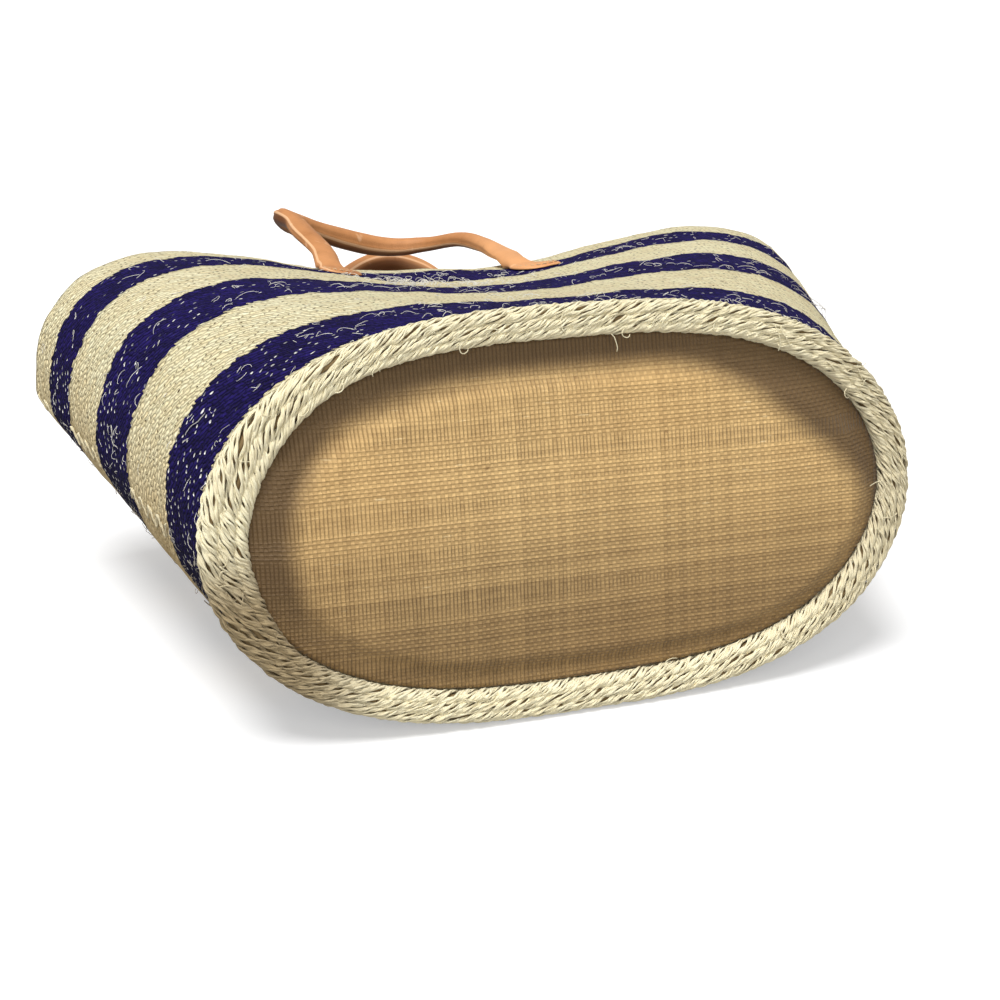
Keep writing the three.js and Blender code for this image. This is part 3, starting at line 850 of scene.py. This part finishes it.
# The bends of each strap between its roots, in the handle's own frame
FRONT_BENDS = [(-58, 16, 2), (-59.5, 36, 6), (-62, 59, 9), (-67.5, 79, 10), (-55.5, 94, 4),
               (-39, 102, -4), (-14, 110, -12), (7, 112, -17), (23, 109, -18), (39, 101, -15),
               (52, 76, -6), (57, 44, -2), (59, 16, -1)]
BACK_BENDS = [(-58, 29, 1), (-59, 53, 10), (-53, 89, 51), (-39, 116, 89), (-16, 135, 118),
              (17, 145, 128), (50, 134, 118), (65, 112, 88), (66, 86, 51), (62, 53, 10),
              (59, 29, 1)]
TURN = np.linspace(0, 2 * pi, STRAP_SIDES, endpoint=False)
# Steps of the strap that each tab takes over
TAKEN = 3


def smooth_path(points, step):
    """A centripetal Catmull-Rom curve through the points, sampled at an even step."""
    p = np.vstack([2 * points[0] - points[1], points, 2 * points[-1] - points[-2]])
    out = []
    for i in range(1, len(p) - 2):
        a, b, c = (np.linalg.norm(p[j + 1] - p[j]) ** 0.5 for j in (i - 1, i, i + 1))
        before = (p[i] - p[i - 1]) / a - (p[i + 1] - p[i - 1]) / (a + b)
        before = (before + (p[i + 1] - p[i]) / b) * b
        after = (p[i + 1] - p[i]) / b - (p[i + 2] - p[i]) / (b + c)
        after = (after + (p[i + 2] - p[i + 1]) / c) * b
        for t in np.linspace(0, 1, 40, endpoint=False):
            out.append((2 * t ** 3 - 3 * t ** 2 + 1) * p[i] + (t ** 3 - 2 * t ** 2 + t) * before
                       + (-2 * t ** 3 + 3 * t ** 2) * p[i + 1] + (t ** 3 - t ** 2) * after)
    out = np.array(out + [p[-2]])
    length = length_along(out)
    stops = np.linspace(0, length[-1], round(length[-1] / step) + 1)
    return np.stack([np.interp(stops, length, out[:, i]) for i in range(3)], 1)


def tab_width_at(share):
    """Half the tab's width at a share of its length, from its far end (0) to the strap (1)."""
    sine = np.clip(2 * share - 1, -1, 1)
    angle = np.arcsin(np.sign(sine) * np.abs(sine) ** (1 / TAB_ROUNDNESS))
    return (TAB_WIDTH / 2) * (1 - TAB_TAPER * share) * np.cos(angle) ** TAB_ROUNDNESS


def tab_rings(root, side, handed):
    """Rings of a tab, from its far end up to the strap, with their middles and out directions.
    handed is 1 where the leather runs from the tab to the strap, else -1."""
    x0, lean = root
    rings, middles, outs = [], [], []
    for share in 1 - np.cos(np.linspace(0.10, pi / 2, TAB_STEPS)):
        along = WALL_LENGTH - ROOT_FROM_MOUTH - TAB_START - TAB_LENGTH * (1 - share)
        x = x0 + lean * (1 - share) ** 2
        rolled = smooth_step(share, 0.55, 1.0)
        narrow = mix(tab_width_at(min(share, 0.86)), STRAP_RADIUS * ROOT_SPREAD, rolled)
        thick = mix(0.7, TAB_THICKNESS, smooth_step(share, 0, 0.25)) + 4.2 * rolled
        ring = []
        for angle in TURN:
            aside = side * handed * signed_power(math.sin(angle), 0.8) * narrow
            crown = max(math.cos(angle), 0) ** 0.75 * thick
            ring.append(on_wall(x + aside, along, side, CLOTH_GAP + crown)[0])
        middle, out = on_wall(x, along, side, CLOTH_GAP + thick / 2)
        rings.append(np.array(ring))
        middles.append(middle)
        outs.append(out)
    return rings, middles, outs


def seam_turn(reach):
    """The angle of the leather's rolled edge, at a distance from the left root."""
    return mix(EDGE_LEFT, EDGE_RIGHT, smooth_step(reach, 82, 118))


def strap_path(side, bends):
    """The middle line of a strap, with the handle's middle and its Y direction."""
    along, height = WALL_LENGTH - ROOT_FROM_MOUTH, CLOTH_GAP + STRAP_RADIUS
    left, right = (on_wall(x, along, side, height)[0] for x, _ in (LEFT_ROOT, RIGHT_ROOT))
    along_x = unit(right - left)
    along_y = unit(np.cross((0, 0, 1), along_x))
    along_z = np.cross(along_x, along_y)
    middle = (left + right) / 2
    bent = [middle + along_x * x + along_y * y + along_z * z for x, y, z in bends]
    return smooth_path(np.array([left] + bent + [right]), STRAP_STEP), middle, along_x, along_y


def strap_girth(place, path, reach, along_x):
    """The strap's path, half width and half depth at each reach from the left root: flat at the
    roots and full at the grip. The front one is fuller on its left leg and corner."""
    count = len(path)
    near = np.array([1 - smooth_step(min(r, reach[-1] - r), 0, 62) for r in reach])
    share = reach / reach[-1]
    fat = (1 + 0.36 * np.exp(-((share - 0.49) / 0.13) ** 2)
           - 0.16 * np.exp(-((share - 0.69) / 0.08) ** 2))
    leg, corner = np.zeros(count), np.zeros(count)
    if place == "front":
        leg = np.exp(-((reach - 46) / 25) ** 2)
        corner = np.exp(-((reach - 96) / 15) ** 2)
        path[:, 2] -= STRAP_RADIUS * np.maximum(fat - 1, 0) + 3.2 * corner
        path -= np.outer(3.4 * leg - 0.8 * corner, along_x)
    wobble = lumps(path, 16, 4) * 0.035
    spread = 1 + (ROOT_SPREAD - 1) * near ** 1.2 + 0.42 * leg + 0.30 * corner
    width = STRAP_RADIUS * spread * fat * (1 + wobble)
    depth = STRAP_RADIUS * (1 - 0.30 * near + 0.30 * corner) * fat * (1 - wobble)
    return path, width, depth


def leather_handle(name, place, side, bends):
    path, middle, along_x, along_y = strap_path(side, bends)
    reach = np.arange(len(path)) * STRAP_STEP
    path, width, depth = strap_girth(place, path, reach, along_x)
    first, first_middles, first_outs = tab_rings(LEFT_ROOT, side, 1)
    last, last_middles, last_outs = [part[::-1] for part in tab_rings(RIGHT_ROOT, side, -1)]
    centres = np.array(first_middles + list(path[TAKEN:-TAKEN]) + last_middles)
    begin, stop = len(first), len(centres) - len(last)
    along = unit(np.gradient(centres, axis=0))
    outs = carried_outs(along, first_outs)
    # The turn on the way that brings the carried direction to the right tab's
    target = unit(last_outs[0] - along[stop] * last_outs[0].dot(along[stop]))
    carried = outs[stop]
    sine, cosine = np.dot(np.cross(carried, target), along[stop]), carried.dot(target)
    twist = math.atan2(float(sine), float(cosine))
    rings = list(first)
    for i in range(begin, stop):
        turned = twist * smooth_step(i, begin, stop)
        out = outs[i] * math.cos(turned) + np.cross(along[i], outs[i]) * math.sin(turned)
        across = np.cross(along[i], out)
        k = i - begin + TAKEN
        away = np.abs((TURN - seam_turn(reach[k]) + pi) % (2 * pi) - pi)
        free = smooth_step(min(reach[k], reach[-1] - reach[k]), 8, 26)
        lip = 1 + free * (0.10 * np.exp(-(away / 0.20) ** 2)
                          - 0.07 * np.exp(-((away - 0.42) / 0.14) ** 2))
        rings.append(centres[i] + np.outer(np.sin(TURN) * width[k] * lip, across)
                     + np.outer(np.cos(TURN) * depth[k] * lip, out))
    rings += last
    # The back handle's U is offset, which moves its painted underside shade round the strap
    us = np.linspace(0, 1, STRAP_SIDES + 1) + (-0.12 if place == "back" else 0)
    length = length_along(centres) / STRAND_LENGTH
    faces, corners = stitch(rings, us, length, 0, False)
    faces += caps(0, len(rings) * STRAP_SIDES, STRAP_SIDES)
    corners += [(0, 0)] * STRAP_SIDES + [(0, length[-1])] * STRAP_SIDES
    corners = [(b, a) for a, b in corners]
    piece = new_mesh(name, np.concatenate(rings), faces, corners, leather)
    level = (middle + SHIFT) / METRE
    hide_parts(f"handle_{place}_sleeve", f"tab_{place}_left", f"tab_{place}_right")
    tuple(level - along_y * 0.007)
    tuple(level + along_y * 0.012)
    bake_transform(piece)

    # The cord inside stops short of the bends that fold at the roots
    cord = Tubes()
    kept = (reach > CORD_SETBACK) & (reach < reach[-1] - CORD_SETBACK)
    cord.add(path[kept], STRAP_RADIUS * CORD_SHARE, 12)
    piece = cord.mesh(f"handle_cord_{place}", cotton)
    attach(piece, f"handle_{place}")
    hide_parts(f"handle_{place}_core")


leather_handle("leather_handle_front", "front", 1, FRONT_BENDS)
leather_handle("leather_handle_back", "back", -1, BACK_BENDS)


# Stitches round each tab

def tab_edge(root, inset, angle):
    """The place on the wall of a tab's outline, or of a line inside it."""
    span = TAB_LENGTH - 2 * inset
    share = 0.5 + 0.5 * float(signed_power(np.sin(angle), TAB_ROUNDNESS))
    along = WALL_LENGTH - ROOT_FROM_MOUTH - TAB_START - inset - span * (1 - share)
    half = (TAB_WIDTH / 2) * (1 - TAB_TAPER * share) - inset
    aside = half * float(signed_power(np.cos(angle), TAB_ROUNDNESS))
    return root[0] + root[1] * (1 - share) ** 2 + aside, along


for place, side in (("front", 1), ("back", -1)):
    for hand, root in (("left", LEFT_ROOT), ("right", RIGHT_ROOT)):
        stitches = Tubes()
        angles = np.linspace(radians(90 + STITCH_FROM), radians(450 - STITCH_FROM), 300)
        edge = np.array([on_wall(*tab_edge(root, THREAD_INSET, a), side, 0)[0] for a in angles])
        length = length_along(edge)
        heights = CLOTH_GAP + 1.5 + 0.5 * np.sin(np.linspace(0, pi, 7))
        at = 0.0
        while at + STITCH_LENGTH < length[-1]:
            inner = np.interp(np.linspace(at, at + STITCH_LENGTH, 7), length, angles)
            run = [on_wall(*tab_edge(root, THREAD_INSET, a), side, h)[0]
                   for a, h in zip(inner, heights)]
            stitches.add(run, STITCH_RADIUS, 6)
            at += STITCH_PITCH
        piece = stitches.mesh(f"tab_stitches_{place}_{hand}", thread)
        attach(piece, "bag")
        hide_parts(f"tab_thread_{place}_{hand}")


# Side seam: two twined threads laced over the joint of the weave

TWINE, TWINE_TURN, TWINE_RADIUS = 0.35, 0.75, 0.45


def seam_path():
    """The lacing's zigzag up the wall, and how far up each of its points lies."""
    first = SEAT_DEPTH + SEAM_PITCH / 2
    crossings = int((WALL_LENGTH - first) / (SEAM_PITCH / 2))
    stations = [first + i * SEAM_PITCH / 2 for i in range(crossings + 1)]
    angle = radians(SEAM_ANGLE)
    points = []
    for i, station in enumerate(stations):
        wall = wall_at(station)
        here = section(wall, angle)
        edge = unit(section(wall, angle + 0.01) - here)
        out = np.array([edge[1], -edge[0]])
        sideways = SEAM_HALF_WIDTH if i % 2 == 0 else -SEAM_HALF_WIDTH
        points.append(to_space(wall, here + edge * sideways + out * TWINE))
    path = smooth_path(np.array(points), 1.2)
    share = np.linspace(0, 1, len(stations))
    return path, np.interp(np.linspace(0, 1, len(path)), share, stations)


def seam_shows(y):
    """The lacing shows on the natural bands, and is hidden in the dyed ones."""
    at = SEAT_DEPTH
    for height, dye in zip(BAND_HEIGHTS, BAND_COLOURS):
        if at - 1 <= y <= at + height + 1:
            return dye == "natural"
        at += height
    return y < SEAT_DEPTH


seam = Tubes()
path, stations = seam_path()
turn = np.arange(len(path)) * TWINE_TURN
along = unit(np.gradient(path, axis=0))
first = unit(np.cross(along, (0, 0, 1)))
second = np.cross(along, first)
shown = np.array([seam_shows(y) for y in stations])
breaks = np.flatnonzero(np.diff(shown.astype(int))) + 1
for run in np.split(np.arange(len(path)), breaks):
    if not shown[run[0]] or len(run) < 4:
        continue
    for k in range(2):
        own = turn[run] + k * pi
        twined = first[run] * np.cos(own)[:, None] + second[run] * np.sin(own)[:, None]
        seam.add(path[run] + TWINE * twined, TWINE_RADIUS, 6)
piece = seam.mesh("seam_lacing", strands)
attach(piece, "bag")
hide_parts("side_seam_lacing")


# Stray fibres that stand off the weave, mostly on the dyed bands, and loose ends on the border

# How many grow from each band, from the sag of the upper wall and from the border
FIBRES = {1: 230, 3: 200, 5: 120, 0: 10, 2: 26, 4: 20, 6: 14}
SAG_FIBRES, LOOSE_ENDS = 110, 60


def curl(start, out, along, length, lift, bend):
    """A loose fibre that leaves the surface, curls and comes near it again."""
    steps = 11
    across = np.cross(out, along)
    heading, turn = random.uniform(0, 2 * pi), random.uniform(-bend, bend)
    point, points = start, []
    for i in range(steps):
        rise = lift * math.sin(pi * i / (steps - 1) * random.uniform(0.85, 1))
        points.append(point + out * (0.25 + rise))
        point = point + (along * math.cos(heading) + across * math.sin(heading)) * (length / steps)
        heading += turn + random.uniform(-0.25, 0.25)
    return points


def heading_on(points, i):
    return unit(points[(i + 1) % len(points)] - points[i])


fibres = Tubes()
edges = np.cumsum([SEAT_DEPTH] + BAND_HEIGHTS)
for band, number in FIBRES.items():
    for _ in range(number):
        points, outs = oval(random.uniform(edges[band] + 1, edges[band + 1] - 1), 0, 400)
        i = random.randrange(400)
        if points[i][2] < 12:
            continue
        length = random.uniform(5, 17)
        path = curl(points[i], outs[i], heading_on(points, i), length, random.uniform(0.4, 2.0),
                    0.5)
        fibres.add(path, random.uniform(0.10, 0.17), 4)
for _ in range(SAG_FIBRES):
    x, at = random.gauss(-12, 28), random.uniform(edges[4] - 10, edges[5] + 8)
    point, out = on_wall(x, at, 1, 0)
    run = unit(wall_face(x + 2, at, 1) - point)
    path = curl(point, out, run, random.uniform(5, 15), random.uniform(0.5, 2.6), 0.7)
    fibres.add(path, random.uniform(0.10, 0.18), 4)
piece = fibres.mesh("stray_fibres", stray)
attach(piece, "bag")

loose = Tubes()
for _ in range(LOOSE_ENDS):
    points, outs = base_oval(random.choice([2.0, 5.4, 9.5, 12.0]), 1.6, 500)
    i = random.randrange(500)
    if points[i][2] < 10:
        continue
    path = curl(points[i], BASE_FACE, heading_on(points, i), random.uniform(6, 16),
                random.uniform(0.3, 1.4), 0.4)
    loose.add(path, random.uniform(0.2, 0.42), 5)
piece = loose.mesh("border_loose_ends", strands)
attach(piece, "bag")


# The hidden board keeps its CAD shape
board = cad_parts["base_board"].data
board.materials.clear()
board.materials.append(
    plain_material("fibre_board", (0.42, 0.30, 0.18), (0.26, 0.17, 0.09), 300.0, 0.9))


# Floor, light and camera

# The floor is white to the camera, and pale grey in the light that it throws back on the bag
g = Graph("floor_white", roughness=1, specular=0)
seen = g.node("ShaderNodeLightPath", output="Is Camera Ray")
g.shader.inputs["Emission Color"].default_value = (1, 1, 1, 1)
g.put(seen * 0.36, g.shader.inputs["Emission Strength"])
white = g.finish(g.colour(seen, (0.34, 0.33, 0.31), (0.7, 0.7, 0.7)))
bpy.ops.mesh.primitive_plane_add(size=30, location=(0, 0, -0.0005))
floor = bpy.context.object
floor.name = "floor"
floor.data.materials.append(white)

world = bpy.data.worlds.new("studio")
bpy.context.scene.world = world
world.use_nodes = True
tree = world.node_tree
tree.nodes.clear()
paths = tree.nodes.new("ShaderNodeLightPath").outputs["Is Camera Ray"]
# The sky as it lights the bag, and as the camera sees it
skies = []
for strength in (0.40, 1.0):
    sky = tree.nodes.new("ShaderNodeBackground")
    sky.inputs["Color"].default_value = (1, 1, 1, 1)
    sky.inputs["Strength"].default_value = strength
    skies.append(sky.outputs[0])
either = tree.nodes.new("ShaderNodeMixShader")
output = tree.nodes.new("ShaderNodeOutputWorld")
for socket, value in zip(either.inputs, [paths] + skies):
    tree.links.new(value, socket)
tree.links.new(either.outputs[0], output.inputs[0])


def lamp(name, towards, angle, power):
    data = bpy.data.lights.new(name, "SUN")
    data.energy = power
    data.angle = radians(angle)
    light = bpy.data.objects.new(name, data)
    light.rotation_euler = Vector(towards).to_track_quat("Z", "Y").to_euler()
    bpy.context.scene.collection.objects.link(light)


lamp("key", (-0.24, -0.13, 0.96), 28, 2.75)
lamp("fill", (-0.30, -0.88, 0.36), 60, 1.35)

# The camera stands where the photograph was taken from
CAMERA_PLACE = np.array([-339.11, -747.21, 443.21])
YAW, PITCH, ROLL = 0.36578874, 0.37932069, 0.02986393
FOCAL_PIXELS, PICTURE_PIXELS, SENSOR_WIDTH = 1801.668, 1000, 36
ahead = np.array([math.sin(YAW) * math.cos(PITCH), math.cos(YAW) * math.cos(PITCH),
                  -math.sin(PITCH)])
level = np.array([math.cos(YAW), -math.sin(YAW), 0])
above = np.cross(level, ahead)
right = math.cos(ROLL) * level + math.sin(ROLL) * above
up = -math.sin(ROLL) * level + math.cos(ROLL) * above
data = bpy.data.cameras.new("camera")
data.sensor_width = SENSOR_WIDTH
data.lens = FOCAL_PIXELS / PICTURE_PIXELS * SENSOR_WIDTH
data.clip_start = 0.01
camera = bpy.data.objects.new("camera", data)
matrix = np.eye(4)
matrix[:3, 0], matrix[:3, 1], matrix[:3, 2] = right, up, -ahead
matrix[:3, 3] = (CAMERA_PLACE + SHIFT) / METRE
camera.matrix_world = Matrix(matrix.tolist())
bpy.context.scene.collection.objects.link(camera)
bpy.context.scene.camera = camera
bpy.context.scene.view_settings.view_transform = "Standard"
